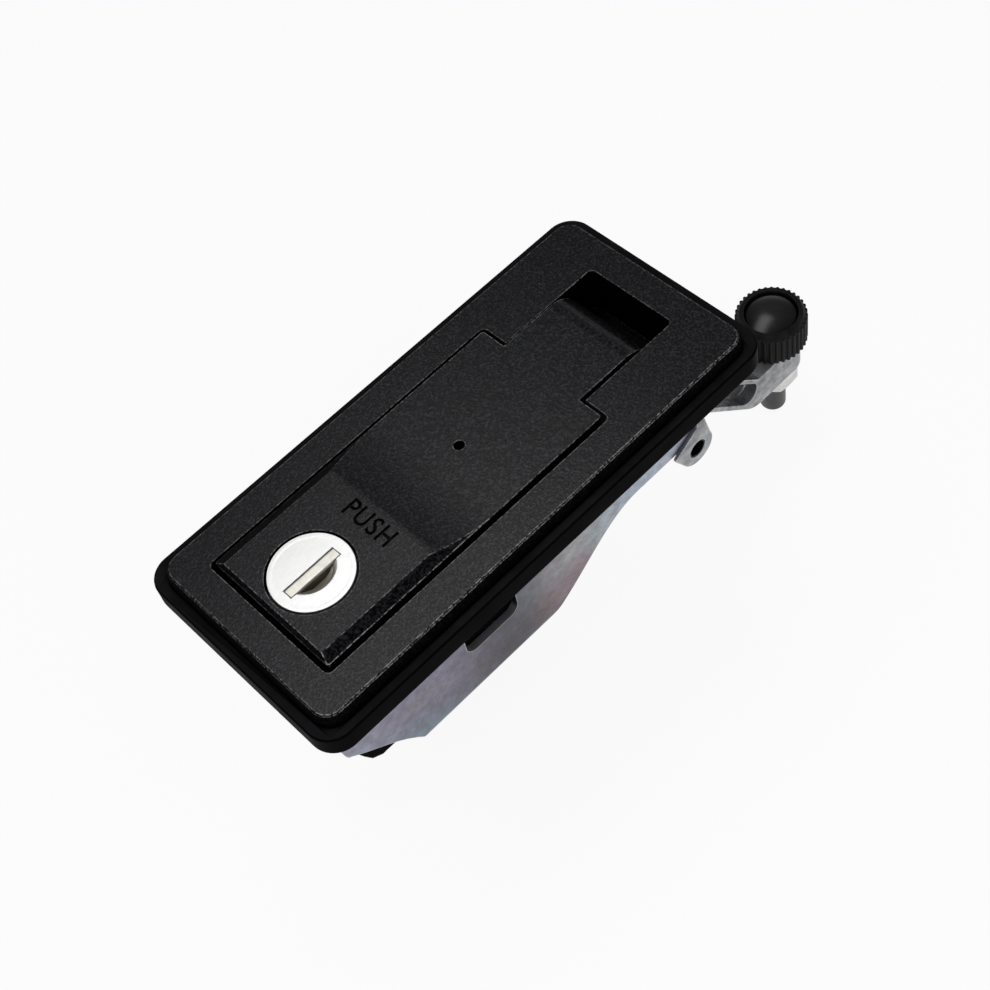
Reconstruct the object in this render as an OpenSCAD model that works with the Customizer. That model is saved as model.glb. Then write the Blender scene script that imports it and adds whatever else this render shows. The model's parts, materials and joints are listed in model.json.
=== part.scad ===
// Flush compression latch opened by pressing the end of its lever.
// A pan is let into a door panel, a rocking lever with a key lock lies in the pan, and a link swings
// the clamp arm behind the panel. Millimetres. +X runs from the push end to the finger end and +Z out
// of the panel. The origin is the centre of the cut-out, on the panel face under the gasket.

/* [Pan] */
// Length of the pan's face
pan_length = 136.6; // [134:0.2:139]
// Width of the pan's face
pan_width = 60; // [59:0.2:63]
// Corner radius of the face in plan
pan_corner = 4.5; // [3.5:0.25:5.5]
// Height of the face above the panel
face_height = 9.5; // [9.2:0.1:10]
// Bevel round the edge of the face
pan_bevel = 0.4; // [0.3:0.1:0.8]
// Draft, how far the foot of the rim stands out past the face
pan_draft = 0.9; // [0.5:0.1:1.2]
// Thickness of the face plate
face_thick = 3; // [2.6:0.1:3.2]
// Thickness of the skirt and the rim
skirt_wall = 2.2; // [2:0.1:2.4]
// Depth of the skirt beside the lever pin
skirt_depth = 22.5; // [21:0.5:24]
// Depth of the skirt at the push end
skirt_end_depth = 33; // [32:0.5:34]
// Depth of the well's floor at the push end
well_depth = 26.3; // [25.8:0.1:26.8]
// Depth of the finger pocket's floor below the panel
pocket_depth = 5; // [4.5:0.1:5.4]

/* [Opening] */
// X of the opening's push end
push_x = -60.2; // [-60.8:0.1:-59.6]
// X of the shoulder where the opening narrows
shoulder_x = 29.6; // [28:0.1:31]
// X of the opening's finger end
finger_x = 59.9; // [59:0.1:61]
// Half width of the wide part
opening_half = 21.5; // [21:0.1:22]
// Half width of the neck
neck_half = 13.6; // [13:0.1:14.2]
// Corner radius of the opening
opening_corner = 1.6; // [1:0.1:2]
// Gap between the lever and the wide part
lever_gap = 1.3; // [1.1:0.1:1.5]
// Gap between the lever and the neck
neck_gap = 0.8; // [0.6:0.1:1]

/* [Gasket] */
// How far the gasket stands out past the rim
gasket_lip = 2.9; // [2.4:0.1:3.4]
// Height of the gasket's lip
gasket_height = 5.5; // [5:0.1:6]
// Thickness of the gasket under the rim
gasket_floor = 3; // [2.6:0.1:3.4]
// How far the lip's outer side leans in
gasket_lean = 1.4; // [1:0.1:1.8]
// Corner radius of the gasket in plan
gasket_corner = 6.8; // [6:0.1:8]

/* [Lever] */
// X of the lever pin
pivot_x = -19; // [-20:0.5:-18]
// Height of the lever pin
pivot_z = 0.5; // [0:0.1:0.8]
// Diameter of the lever pin
lever_pin_d = 6; // [5.5:0.1:6.5]
// How far the middle of the lever stands above the face
lever_proud = 0.8; // [0.6:0.1:1]
// Thickness of the lever's plate
lever_thick = 3; // [2.8:0.1:3.2]
// Height of the push pad above the middle of the lever
pad_rise = 1.5; // [1.3:0.1:1.7]
// Width of the bevel along the sides of the pad
pad_slope = 2.8; // [2.4:0.1:3.2]
// X where the top of the pad ends
pad_end_x = -25; // [-26:0.5:-24]
// X where the ramp meets the middle of the lever
ramp_end_x = -6; // [-8:0.5:-4]
// Radius of the curl at the finger end
tip_curve = 9; // [8.5:0.1:9.5]
// X of the finger end
tip_x = 53; // [52:0.1:53.6]
// X of the blind hole
hole_x = 0.8; // [0:0.1:3]
// Diameter of the blind hole
hole_d = 2.8; // [2:0.1:3.4]
// Thickness of the lever's cheeks
cheek_thick = 3; // [2.5:0.1:3.5]

/* [Lock] */
// X of the lock's axis
lock_x = -45.8; // [-46:0.1:-45.4]
// Diameter of the lock's face
lock_face_d = 21; // [20.4:0.1:21.4]
// Gap round the lock's face
lock_gap = 0.6; // [0.4:0.1:0.7]
// Diameter of the threaded barrel
barrel_d = 18.4; // [18.2:0.1:18.8]
// Diameter of the plug's head
plug_head_d = 17; // [16.8:0.1:17.1]
// Diameter of the plug
plug_d = 12.8; // [12:0.1:13.4]
// Depth of the barrel below the pad
barrel_depth = 18.3; // [17.5:0.1:18.6]
// Thickness of the turning face
face_disc = 1.2; // [1:0.1:1.4]
// Length of the key slot
slot_length = 15.2; // [14.6:0.1:15.6]
// Width of the key slot
slot_width = 2.9; // [2.6:0.1:3.2]
// Radius of the half moon beside the slot
moon_r = 6.9; // [6.4:0.1:7.2]
// Reach of the cam from the lock's axis
cam_reach = 14; // [13:0.1:14.5]
// Width of the lock nut across flats
lock_nut_flats = 22; // [21:0.1:22.4]
// Thickness of the lock nut
lock_nut_thick = 3; // [2.6:0.1:3.2]

/* [Linkage] */
// Crank length on the lever and on the arm
crank = 10.5; // [10.3:0.1:10.7]
// Lean of both cranks from the vertical with the latch shut
crank_lean = 30; // [28:0.5:31]
// Diameter of the link pins
link_pin_d = 4; // [3.8:0.1:4.2]
// Half width of the link at its ends
link_half = 3.8; // [3.6:0.1:4]
// Thickness of the link
link_thick = 5; // [4.6:0.1:5.4]
// Half width of the lever's crank fork
fork_half = 6.7; // [6.4:0.1:7]
// Half length of the crank's base plate
base_reach = 12; // [11.6:0.1:12.4]
// Half width of the crank's base plate
base_half = 10.5; // [10.2:0.1:10.8]
// Thickness of the crank's base plate
base_thick = 2.5; // [2.2:0.1:2.8]
// Diameter of the crank's screws
crank_screw_d = 3; // [2.6:0.1:3.2]

/* [Bracket] */
// Thickness of the bracket's sheet
sheet = 2; // [1.8:0.1:2.2]
// X of the bracket's push end
bracket_push_x = -67; // [-68:0.2:-66]
// Depth of the bracket's channel
channel_depth = 41.1; // [40.6:0.1:41.6]
// Depth of the bracket's tail
tail_depth = 20; // [19.8:0.1:20.6]
// Depth of the bracket's top edge below the panel face
bracket_top = 3; // [2.5:0.1:3.5]
// Outside radius of the bends
bend_r = 4; // [3.5:0.1:4.5]
// X where the channel's floor starts
channel_x = -45.8; // [-47:0.2:-45]
// X where the channel's floor ends and the lower edge rises to the tail
rise_x = -2; // [-4:0.5:-1]
// Length over which the lower edge rises
rise_length = 33.5; // [32:0.5:35]
// X of the window's middle
window_x = -19.5; // [-21:0.1:-18]
// Length of the window
window_length = 17; // [15:0.1:18]
// Depth of the window's lower edge
window_depth = 22.3; // [21.8:0.1:22.4]
// Diameter of the bracket screws
bracket_screw_d = 4; // [3.5:0.1:4.2]

/* [Arm] */
// X of the arm's pivot
arm_x = 52.3; // [51.8:0.1:53]
// Depth of the arm's pivot
arm_depth = 24; // [23.8:0.1:24.6]
// Diameter of the arm pin
arm_pin_d = 5.5; // [5.2:0.1:5.6]
// Radius of the arm's hub
hub_r = 5.4; // [5.2:0.1:5.5]
// Half thickness of the arm
arm_half = 7.25; // [7:0.05:7.5]
// Slope of the limb below the horizontal
limb_slope = 44; // [43:0.5:45]
// Depth of the limb's section
limb_thick = 10.2; // [9.8:0.1:10.6]
// How far the limb's lower edge lies from the pivot
limb_offset = 3.2; // [3:0.1:3.4]
// Width of the rims round the side pockets
limb_rim = 1.6; // [1.4:0.1:2]
// Depth of each side pocket
limb_pocket = 4.2; // [3:0.1:4.6]
// Depth of the top of the arm's foot
foot_depth = 57.6; // [57.2:0.1:58]
// Thickness of the arm's foot
foot_thick = 12; // [11.5:0.1:12.5]
// Thickness of the ears
ear_thick = 1; // [0.8:0.1:1.4]
// Radius of the ears
ear_r = 5.5; // [5.2:0.1:5.8]
// Reach of the ears' foot behind the pivot
ear_foot = 8.1; // [7.6:0.1:8.6]
// Height of the ears above the pivot
ear_rise = 12; // [11:0.1:12.4]
// Wall of the spacer tubes on the arm's pin
spacer_wall = 1.7; // [1.2:0.1:2]
// Length of the foot from the limb to the adjuster's axis
foot_reach = 16.29; // [16:0.01:16.8]
// Length of the foot past the adjuster's axis
foot_end = 7.9; // [7.5:0.1:8.5]
// Corner radius of the foot's free end
foot_corner = 6; // [5:0.1:6.8]
// Radius of the heel between the limb and the foot
heel_r = 7.5; // [6:0.5:9]

/* [Adjuster] */
// Outside diameter of the stud
stud_d = 7.8; // [7.4:0.1:8]
// Depth of the stud's free end
stud_depth = 89.6; // [88:0.1:91]
// Width of the jam nut across flats
nut_flats = 13; // [12.6:0.1:13.4]
// Thickness of the jam nut
nut_thick = 6; // [5:0.1:6.5]
// Diameter of the knob at the root of its teeth
knob_d = 19.5; // [19:0.1:20]
// Height of the knob
knob_height = 10.8; // [10.4:0.1:11.4]
// Number of teeth round the knob
knob_teeth = 36; // [30:1:40]
// Width of the knob's rim
knob_rim = 2; // [1.8:0.1:2.4]

/* [Fits] */
// Radial clearance of a turning fit
run_fit = 0.05; // [0.03:0.01:0.08]
// Clearance at the side of a turning piece
side_fit = 0.2; // [0.15:0.05:0.3]
// Gap under the knob and round the skirt
free_gap = 0.3; // [0.25:0.05:0.35]

/* [Hidden] */
$fn = 48;
skirt_y = opening_half + skirt_wall;
bracket_y = skirt_y + sheet;
push_relief = 1;
skirt_push_x = push_x - push_relief - skirt_wall;
pocket_low = -pocket_depth - 2;
lever_top = face_height + lever_proud;
lever_low = lever_top - lever_thick;
pad_top = lever_top + pad_rise;
lever_half = opening_half - lever_gap;
lever_neck = neck_half - neck_gap;
lever_end_x = push_x + lever_gap;
pad_start_x = lever_end_x + 1;
lever_shoulder = shoulder_x - lever_gap;
curl_x = tip_x - tip_curve;
curl_z = lever_top - tip_curve;
ramp_r = (pow(ramp_end_x - pad_end_x, 2) + pow(pad_rise, 2)) / (2 * pad_rise);
lobe_r = lever_pin_d / 2 + 2.6;
disc_low = pad_top - face_disc;
seat_z = pad_top - 3;
plug_head_z = disc_low - 3.4;
barrel_low = pad_top - barrel_depth;
plug_low = barrel_low - 2.5;
cam_thick = 2.5;
slot_y = -0.25;
moon_y = 1.5;
crank_pin_x = pivot_x - crank * sin(crank_lean);
crank_pin_z = pivot_z - crank * cos(crank_lean);
arm_z = -arm_depth;
arm_crank_x = arm_x - crank * sin(crank_lean);
arm_crank_z = arm_z + crank * cos(crank_lean);
link_rise = 2 * crank * (1 - cos(crank_lean)) + 0.1;
fork_gap = link_thick / 2 + side_fit;
base_low = lever_low - base_thick;
fork_r = base_low - pivot_z + 0.9;
crank_screw_x = [pivot_x - base_reach + crank_screw_d, pivot_x + base_reach - crank_screw_d];
crank_screw_y = [0.9 * crank_screw_d - base_half, base_half - 0.9 * crank_screw_d];
foot_low = -foot_depth - foot_thick;
limb_end = (arm_z - foot_low - limb_offset * cos(limb_slope)) / sin(limb_slope);
foot_x = arm_x + limb_end * cos(limb_slope) - limb_offset * sin(limb_slope);
knob_x = foot_x + foot_reach;
knob_low = -foot_depth + free_gap;
cut_z = bend_r / 2 - channel_depth;
dish = 1.5;
screw_spots = [-52, 20];
screw_z = -8;

// Plan of a plate from x0 to x1 with rounded corners
module round_plate(x0, x1, half, corner) {
  translate([x0 + corner, -half])
    square([x1 - x0 - 2 * corner, 2 * half]);
  translate([x0, corner - half])
    square([x1 - x0, 2 * (half - corner)]);
  for (x = [x0 + corner, x1 - corner], y = [corner - half, half - corner])
    translate([x, y])
      circle(r = corner);
}

// A side view drawn in X and Z, given thickness from y0 to y1
module across(y0, y1) {
  translate([0, y1, 0])
    rotate([90, 0, 0])
      linear_extrude(height = y1 - y0)
        children();
}

// The same side view on both sides of the middle
module both_sides(y0, y1) {
  across(y0, y1)
    children();
  across(-y1, -y0)
    children();
}

// An end view drawn in Y and Z, run from x0 to x1
module along(x0, x1) {
  translate([x0, 0, 0])
    rotate([90, 0, 90])
      linear_extrude(height = x1 - x0)
        children();
}

// A pin or bore across the latch
module cross_bar(x, z, r, y0, y1) {
  translate([x, y1, z])
    rotate([90, 0, 0])
      cylinder(r = r, h = y1 - y0);
}

// Side view of a bar with round ends
module bar_view(x0, z0, x1, z1, half) {
  span = sqrt(pow(x1 - x0, 2) + pow(z1 - z0, 2));
  translate([x0, z0])
    rotate(atan2(z1 - z0, x1 - x0))
      translate([0, -half])
        square([span, 2 * half]);
  translate([x0, z0])
    circle(r = half);
  translate([x1, z1])
    circle(r = half);
}

// A rounded slab whose edge follows a section, given as distance from the corner's centre and height
module edged_slab(length, width, corner, section) {
  low = section[0][1];
  high = section[len(section) - 1][1];
  half_x = length / 2 - corner;
  half_y = width / 2 - corner;
  for (x = [-half_x, half_x], y = [-half_y, half_y])
    translate([x, y, 0])
      rotate_extrude()
        polygon(concat([[0, low]], section, [[0, high]]));
  for (side = [0, 180])
    rotate([0, 0, side]) {
      along(-half_x, half_x)
        polygon(concat([[0, low]], [for (p = section) [half_y + p[0], p[1]]], [[0, high]]));
      across(-half_y, half_y)
        polygon(concat([[0, low]], [for (p = section) [half_x + p[0], p[1]]], [[0, high]]));
    }
}

module opening_plan() {
  round_plate(push_x, shoulder_x, opening_half, opening_corner);
  round_plate(shoulder_x - 6, finger_x, neck_half, opening_corner);
}

module skirt_view() {
  polygon([[-80, face_height - 1], [-80, 7.5 - skirt_end_depth], [skirt_push_x, 7.5 - skirt_end_depth],
    [skirt_push_x + 3.2, 2 - skirt_end_depth], [skirt_push_x + 6, -skirt_end_depth],
    [push_x + 12, -skirt_end_depth], [push_x + 23, -skirt_depth], [pivot_x + 14, -skirt_depth],
    [pivot_x + 26, -13], [80, -13], [80, face_height - 1]]);
}

module pan() {
  foot_r = pan_corner + pan_draft;
  color([0.09, 0.09, 0.1])
    difference() {
      union() {
        difference() {
          edged_slab(pan_length, pan_width, pan_corner, [[foot_r, gasket_floor], [foot_r, gasket_height],
            [pan_corner, face_height - pan_bevel], [pan_corner - pan_bevel, face_height]]);
          translate([0, 0, gasket_floor - 1])
            linear_extrude(height = face_height - face_thick - gasket_floor + 1)
              round_plate(skirt_wall - pan_length / 2, pan_length / 2 - skirt_wall,
                pan_width / 2 - skirt_wall, pan_corner - 1);
        }
        intersection() {
          translate([0, 0, -skirt_end_depth])
            linear_extrude(height = skirt_end_depth + face_height - 1)
              round_plate(skirt_push_x, shoulder_x + skirt_wall, skirt_y, opening_corner + skirt_wall);
          across(-skirt_y - 1, skirt_y + 1)
            skirt_view();
        }
        translate([0, 0, pocket_low])
          linear_extrude(height = face_height - 1 - pocket_low)
            round_plate(shoulder_x - 6, finger_x + skirt_wall, neck_half + skirt_wall,
              opening_corner + skirt_wall);
      }
      translate([0, 0, -pocket_depth])
        linear_extrude(height = face_height + pocket_depth + 1)
          opening_plan();
      translate([0, 0, -well_depth])
        linear_extrude(height = well_depth)
          round_plate(push_x, shoulder_x, opening_half, opening_corner);
      translate([push_x + 8, -opening_half, -skirt_end_depth - 1])
        cube([20, 2 * opening_half, skirt_end_depth]);
      translate([push_x - push_relief, -opening_half, -well_depth])
        cube([push_relief + 3, 2 * opening_half, well_depth + face_height - face_thick]);
      translate([shoulder_x - 1, -neck_half, -skirt_end_depth])
        cube([skirt_wall + 2, 2 * neck_half, skirt_end_depth + pocket_low]);
      cross_bar(pivot_x, pivot_z, lever_pin_d / 2, -skirt_y - 1, skirt_y + 1);
      for (x = screw_spots)
        cross_bar(x, screw_z, bracket_screw_d / 2, -skirt_y - 1, skirt_y + 1);
    }
}

module gasket() {
  foot_r = pan_corner + pan_draft;
  spread = 2 * (pan_draft + gasket_lip);
  color([0.05, 0.05, 0.05])
    difference() {
      edged_slab(pan_length + spread, pan_width + spread, gasket_corner, [[gasket_corner, 0],
        [gasket_corner, 0.6], [gasket_corner - gasket_lean, gasket_height]]);
      edged_slab(pan_length, pan_width, pan_corner, [[foot_r, gasket_floor], [foot_r, gasket_height + 1]]);
      translate([0, 0, -1])
        linear_extrude(height = gasket_floor + 2)
          round_plate(skirt_push_x - free_gap, finger_x + skirt_wall + free_gap, skirt_y + free_gap,
            opening_corner + skirt_wall);
    }
}

// Lower edge of the bracket: a round end, a bowed slope and a smooth rise to the tail
function end_edge(t) = [bracket_push_x + 1.7 * (1 - cos(90 * t)), -11.5 - 7.2 * sin(90 * t)];
function slope_edge(t) = [bracket_push_x + 1.7 + t * (channel_x - bracket_push_x - 1.7),
  -18.7 + t * (cut_z + 18.7) + 11 * t * t * (1 - t)];
function rise_edge(t) = [rise_x + t * rise_length,
  cut_z - (cut_z + tail_depth) * ((1 - cos(180 * t)) / 4 + sin(90 * t) / 2)];

module bracket_view() {
  polygon(concat([[bracket_push_x, -bracket_top]], [for (i = [0:5]) end_edge(i / 5)],
    [for (i = [1:8]) slope_edge(i / 8)], [[channel_x, -channel_depth - 1], [rise_x, -channel_depth - 1]],
    [for (i = [0:16]) rise_edge(i / 16)], [[arm_x + 2, -tail_depth], [arm_x + 2, -bracket_top]]));
}

// End view of the channel: two sides, two bends and a floor
module channel_view() {
  difference() {
    union() {
      translate([-bracket_y, bend_r - channel_depth])
        square([2 * bracket_y, channel_depth - bend_r - bracket_top]);
      translate([bend_r - bracket_y, -channel_depth])
        square([2 * (bracket_y - bend_r), bend_r + 1]);
      for (side = [-1, 1])
        translate([side * (bracket_y - bend_r), bend_r - channel_depth])
          circle(r = bend_r);
    }
    translate([-skirt_y, bend_r - channel_depth])
      square([2 * skirt_y, channel_depth]);
    translate([bend_r - bracket_y, sheet - channel_depth])
      square([2 * (bracket_y - bend_r), channel_depth]);
    for (side = [-1, 1])
      translate([side * (bracket_y - bend_r), bend_r - channel_depth])
        circle(r = bend_r - sheet);
  }
}

module mounting_bracket() {
  color([0.75, 0.74, 0.78])
    difference() {
      intersection() {
        along(bracket_push_x, arm_x + 2)
          channel_view();
        across(-bracket_y - 1, bracket_y + 1)
          bracket_view();
      }
      across(-bracket_y - 1, bracket_y + 1)
        translate([0, -window_depth + 5.5])
          round_plate(window_x - window_length / 2, window_x + window_length / 2, 5.5, 3);
      for (x = screw_spots, side = [0, 180])
        rotate([0, 0, side])
          translate([side == 0 ? x : -x, -bracket_y, screw_z])
            rotate([-90, 0, 0])
              cylinder(r1 = bracket_screw_d / 2 + sheet, r2 = bracket_screw_d / 2, h = sheet);
    }
}

module bracket_screws() {
  color([0.7, 0.7, 0.72])
    for (x = screw_spots, side = [0, 180])
      rotate([0, 0, side])
        translate([side == 0 ? x : -x, -bracket_y, screw_z])
          rotate([-90, 0, 0])
            difference() {
              union() {
                cylinder(r1 = bracket_screw_d / 2 + sheet, r2 = bracket_screw_d / 2, h = sheet);
                cylinder(r = bracket_screw_d / 2, h = sheet + skirt_wall);
              }
              translate([0, 0, -1])
                cylinder(r = 1.4, h = 2.4, $fn = 6);
            }
}

module ear_view() {
  difference() {
    union() {
      translate([arm_x, arm_z])
        circle(r = ear_r);
      polygon([[arm_x + 0.4, arm_z + ear_rise], [arm_x + 0.4, arm_z + ear_rise * 0.73],
        [arm_x + 0.4 - ear_foot, arm_z + ear_rise * 0.3], [arm_x - ear_foot, arm_z + ear_rise * 0.24],
        [arm_x - ear_r * cos(35), arm_z - ear_r * sin(35)], [arm_x + ear_r, arm_z],
        [arm_x + ear_r / 2, arm_z + ear_rise]]);
    }
    translate([arm_x, arm_z])
      circle(r = arm_pin_d / 2);
  }
}

module ear_plates() {
  color([0.66, 0.68, 0.68])
    both_sides(bracket_y, bracket_y + ear_thick)
      ear_view();
}

module lever_pin() {
  color([0.6, 0.6, 0.62])
    cross_bar(pivot_x, pivot_z, lever_pin_d / 2, -skirt_y, skirt_y);
}

// Torsion spring round the lever pin: one leg under the push end, one leg hooked on the skirt
module lever_spring() {
  wire = 0.6;
  coil_r = lever_pin_d / 2 + 0.5 + wire;
  coil_y = 11.7;
  leg_y = coil_y + 7.2 * wire;
  leg_tilt = atan((lever_low - 0.9 * wire - pivot_z - coil_r) / 7);
  color([0.5, 0.5, 0.52]) {
    translate([pivot_x, coil_y, pivot_z])
      rotate([-90, 0, 0])
        rotate_extrude()
          for (i = [0:4])
            translate([coil_r, i * 1.8 * wire])
              rotate(22.5)
                circle(r = wire, $fn = 8);
    translate([pivot_x, coil_y, pivot_z + coil_r])
      rotate([0, leg_tilt - 90, 0])
        cylinder(r = wire * 0.8, h = 7);
    translate([pivot_x, leg_y, pivot_z - coil_r])
      rotate([0, 90, 0])
        cylinder(r = wire * 0.8, h = 22);
    cross_bar(pivot_x + 21, pivot_z - coil_r, wire * 0.7, leg_y, opening_half);
  }
}

// Rivet with hollow ends
module arm_pin() {
  reach = bracket_y + ear_thick - 0.2;
  color([0.55, 0.55, 0.57])
    difference() {
      cross_bar(arm_x, arm_z, arm_pin_d / 2, -reach, reach);
      for (y = [-reach - 1, reach - 8])
        cross_bar(arm_x, arm_z, arm_pin_d / 2 - 0.4, y, y + 9);
    }
}

module arm_spacers() {
  color([0.62, 0.62, 0.64])
    both_sides(arm_half + side_fit, skirt_y)
      translate([arm_x, arm_z])
        difference() {
          circle(r = arm_pin_d / 2 + spacer_wall);
          circle(r = arm_pin_d / 2);
        }
}

module lever_plan() {
  round_plate(lever_end_x, lever_shoulder, lever_half, 0.8);
  translate([0, -lever_neck])
    square([curl_x, 2 * lever_neck]);
}

module pad_view() {
  difference() {
    polygon([[lever_end_x, lever_low + 1], [lever_end_x, lever_top], [pad_start_x, pad_top],
      [ramp_end_x, pad_top], [ramp_end_x, lever_low + 1]]);
    translate([ramp_end_x, lever_top + ramp_r])
      circle(r = ramp_r, $fn = 160);
  }
}

module cheek_view() {
  x0 = lever_end_x + 0.4;
  x1 = lever_shoulder - 2;
  polygon([[x0, lever_low + 1], [x0, lever_low - 3], [pivot_x - lobe_r, pivot_z], [pivot_x + lobe_r, pivot_z],
    [x1, lever_low - 2.4], [x1, lever_low + 1]]);
  translate([pivot_x, pivot_z])
    circle(r = lobe_r);
}

module lever() {
  color([0.1, 0.1, 0.11])
    difference() {
      union() {
        translate([0, 0, lever_low])
          linear_extrude(height = lever_thick)
            lever_plan();
        intersection() {
          across(-lever_half, lever_half)
            pad_view();
          along(lever_end_x, ramp_end_x)
            polygon([[-lever_half, lever_low + 1], [-lever_half, lever_top], [pad_slope - lever_half, pad_top],
              [lever_half - pad_slope, pad_top], [lever_half, lever_top], [lever_half, lever_low + 1]]);
          translate([0, 0, lever_low])
            linear_extrude(height = pad_top)
              lever_plan();
        }
        across(-lever_neck, lever_neck)
          translate([curl_x, curl_z])
            intersection() {
              difference() {
                circle(r = tip_curve);
                circle(r = tip_curve - lever_thick);
              }
              square(tip_curve + 1);
            }
        both_sides(lever_half - cheek_thick, lever_half)
          cheek_view();
        translate([lever_end_x + 0.4, 1 - lever_half, lever_low - 3])
          cube([1.2, 2 * (lever_half - 1), 4]);
        both_sides(lever_neck - 2, lever_neck)
          translate([lever_shoulder - 6, lever_low - 2.4])
            square([curl_x - lever_shoulder + 6, 3]);
        translate([lever_shoulder - 4.4, 1 - lever_half, lever_low - 2.4])
          cube([2.4, 2 * (lever_half - 1), 3]);
        translate([hole_x, 0, lever_low - 4])
          cylinder(r = hole_d / 2 + 1.6, h = 5);
      }
      translate([lock_x, 0, seat_z])
        cylinder(r = lock_face_d / 2 + lock_gap, h = 10);
      translate([lock_x, 0, 0])
        cylinder(r = barrel_d / 2 + run_fit, h = 20);
      translate([hole_x, 0, lever_low - 3])
        cylinder(r = hole_d / 2, h = 20);
      cross_bar(pivot_x, pivot_z, lever_pin_d / 2 + run_fit, -skirt_y, skirt_y);
      for (x = crank_screw_x, y = crank_screw_y)
        translate([x, y, lever_low - 1])
          cylinder(r = crank_screw_d / 2, h = lever_thick);
    }
}

module lever_crank() {
  color([0.6, 0.61, 0.62])
    difference() {
      union() {
        translate([0, 0, base_low])
          linear_extrude(height = lever_low - base_low)
            round_plate(pivot_x - base_reach, pivot_x + base_reach, base_half, 2);
        both_sides(fork_gap, fork_half) {
          bar_view(pivot_x, pivot_z, crank_pin_x, crank_pin_z, link_half + 0.4);
          translate([pivot_x, pivot_z])
            circle(r = fork_r);
          translate([pivot_x - fork_r, pivot_z])
            square([2 * fork_r, lever_low - 1 - pivot_z]);
        }
      }
      cross_bar(pivot_x, pivot_z, lever_pin_d / 2 + run_fit, -skirt_y, skirt_y);
      cross_bar(crank_pin_x, crank_pin_z, link_pin_d / 2, -skirt_y, skirt_y);
      for (x = crank_screw_x, y = crank_screw_y)
        translate([x, y, base_low - 1])
          cylinder(r = crank_screw_d / 2, h = base_thick + 2);
    }
}

module crank_screws() {
  head = 1.6;
  color([0.7, 0.7, 0.72])
    for (x = crank_screw_x, y = crank_screw_y)
      translate([x, y, base_low - head]) {
        difference() {
          cylinder(r = crank_screw_d / 2 + 1.1, h = head);
          translate([0, 0, -1])
            cylinder(r = crank_screw_d * 0.43, h = head + 0.4, $fn = 6);
        }
        cylinder(r = crank_screw_d / 2, h = head + base_thick + lever_thick * 0.6);
      }
}

module crank_pin() {
  color([0.55, 0.55, 0.57])
    cross_bar(crank_pin_x, crank_pin_z, link_pin_d / 2, -fork_half, fork_half);
}

module lock_barrel() {
  color([0.72, 0.71, 0.68])
    translate([lock_x, 0, 0])
      difference() {
        union() {
          translate([0, 0, seat_z])
            cylinder(r = lock_face_d / 2, h = disc_low - seat_z);
          translate([0, 0, barrel_low])
            cylinder(r = barrel_d / 2, h = seat_z - barrel_low);
        }
        translate([0, 0, plug_head_z])
          cylinder(r = plug_head_d / 2 + run_fit, h = 10);
        translate([0, 0, barrel_low - 1])
          cylinder(r = plug_d / 2 + run_fit, h = 30);
      }
}

module lock_nut() {
  color([0.7, 0.7, 0.66])
    translate([lock_x, 0, lever_low - lock_nut_thick])
      difference() {
        rotate(30)
          cylinder(r = lock_nut_flats / 2 / cos(30), h = lock_nut_thick, $fn = 6);
        translate([0, 0, -1])
          cylinder(r = barrel_d / 2, h = lock_nut_thick + 2);
      }
}

// Key slot and coned half moon, cut from the lock's axis
module key_cut(low, spare) {
  depth = pad_top - low;
  translate([-slot_length / 2 - spare, slot_y - slot_width / 2 - spare, low])
    cube([slot_length + 2 * spare, slot_width + 2 * spare, depth + 1]);
  intersection() {
    translate([0, moon_y, low])
      cylinder(r1 = moon_r - depth, r2 = moon_r + 1, h = depth + 1);
    translate([-10, slot_y - 20, low])
      cube([20, 20, depth + 1]);
  }
}

module lock_face() {
  color([0.85, 0.85, 0.84])
    translate([lock_x, 0, 0])
      difference() {
        translate([0, 0, disc_low])
          cylinder(r = lock_face_d / 2, h = face_disc);
        key_cut(disc_low - 1, 0);
      }
}

module lock_plug() {
  color([0.72, 0.56, 0.3])
    translate([lock_x, 0, 0])
      difference() {
        union() {
          translate([0, 0, plug_head_z + side_fit])
            cylinder(r = plug_head_d / 2, h = disc_low - plug_head_z - side_fit);
          translate([0, 0, plug_low])
            cylinder(r = plug_d / 2, h = plug_head_z + 1 - plug_low);
        }
        key_cut(disc_low - 2.6, 0.1);
        translate([-4.2, slot_y - 1.1, plug_low + 5])
          cube([8.4, 2.2, 20]);
        translate([0, 0, plug_low - 1])
          cylinder(r = 1.5, h = 4);
      }
}

module lock_cam() {
  color([0.66, 0.66, 0.66])
    translate([lock_x, 0, plug_low - cam_thick])
      difference() {
        linear_extrude(height = cam_thick) {
          circle(r = plug_d / 2);
          translate([-4.5, 0])
            square([9, cam_reach - 2]);
          translate([-2.5, 0])
            square([5, cam_reach]);
          for (side = [-1, 1])
            translate([side * 2.5, cam_reach - 2])
              circle(r = 2);
        }
        translate([0, 0, -1])
          cylinder(r = 1.5, h = cam_thick + 2);
      }
}

module cam_screw() {
  color([0.7, 0.7, 0.72])
    translate([lock_x, 0, plug_low - cam_thick - 1.6]) {
      difference() {
        cylinder(r = 3.2, h = 1.6);
        translate([-4, -0.5, -0.1])
          cube([8, 1, 0.9]);
      }
      cylinder(r = 1.5, h = cam_thick + 4.6);
    }
}

// Sprung shutter that closes the key slot and turns about its rolled +Y edge
module dust_shutter() {
  play = 0.12;
  roll = (face_disc - 0.2) / 2;
  roll_y = slot_y + slot_width / 2 - play - roll;
  reach = sqrt(pow(slot_width - play - roll - 0.06, 2) - pow(roll, 2));
  color([0.86, 0.84, 0.76])
    along(lock_x + play - slot_length / 2, lock_x - play + slot_length / 2)
      translate([roll_y, pad_top - roll]) {
        circle(r = roll);
        translate([-reach, -roll])
          square([reach, 2 * roll]);
      }
}

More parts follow.
